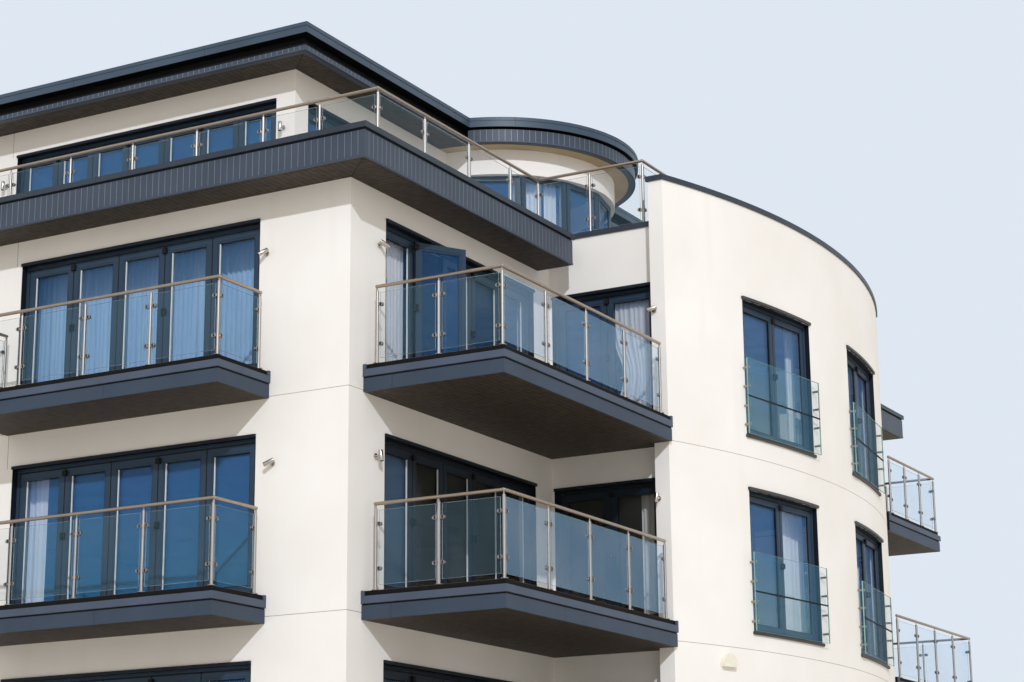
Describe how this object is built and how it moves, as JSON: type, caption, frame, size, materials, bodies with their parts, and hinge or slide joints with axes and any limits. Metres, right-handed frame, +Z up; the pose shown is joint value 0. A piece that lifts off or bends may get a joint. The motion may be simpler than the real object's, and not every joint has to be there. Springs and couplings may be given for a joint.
{
  "type": "apartment block",
  "caption": "Rendered apartment block with glazed balconies, a curved street wall between two recesses and a set-back top flat with a round bay under a flat roof.",
  "frame": {"origin": "middle of the main block's footprint, on the ground", "axes": "+X towards the street that the curved wall faces, -Y towards the street of the wide balconies, +Z up"},
  "size_m": [16.3905, 21.205, 15.15],
  "materials": {
    "render": "smooth off-white render, matt",
    "concrete": "plain concrete",
    "boards": "anthracite V-jointed boards, satin",
    "soffit_boards": "dark stained tongue-and-groove boards",
    "dark_metal": "anthracite powder coat, satin",
    "roof_black": "black, matt",
    "stainless": "brushed stainless steel",
    "clear_glass": "clear toughened glass, polished",
    "window_glass": "double glazing, polished",
    "frames": "anthracite powder coat, satin",
    "ivory_plastic": "moulded, matt",
    "curtain_cloth": "plain woven curtain, matt",
    "black_rubber": "gaskets and membranes, matt"
  },
  "bodies": {
    "root": {"floor_slabs": "concrete", "terrace_slab": "concrete", "front_wall": "render", "side_walls": "render", "recess_walls": "render", "drum_wall_left": "render", "drum_wall_right": "render", "rear_wall": "render", "back_wall": "render", "terrace_band": "boards", "terrace_soffit": "soffit_boards", "copings": "dark_metal", "flat_end_walls": "render", "flat_side_walls": "render", "flat_back_wall": "render", "bay_wall": "render", "roof_slab": "roof_black", "roof_cap": "dark_metal", "roof_cladding": "boards", "roof_soffit": "soffit_boards", "bay_soffit": "render", "front_balconies": "dark_metal", "corner_balconies": "dark_metal", "balcony_soffits": "soffit_boards", "front_rails": "stainless", "corner_rails": "stainless", "terrace_rails": "stainless", "front_rail_glass": "clear_glass", "corner_rail_glass": "clear_glass", "terrace_glass": "clear_glass", "front_doors": "frames", "front_door_glass": "window_glass", "side_doors": "frames", "side_door_glass": "window_glass", "drum_windows": "frames", "drum_window_glass": "window_glass", "back_windows": "frames", "back_window_glass": "window_glass", "flat_doors": "frames", "flat_door_glass": "window_glass", "guard_glass": "clear_glass", "guard_pins": "stainless", "drum_trims": "dark_metal", "wall_lights": "stainless", "alarm_box": "ivory_plastic"}
  },
  "joints": []
}
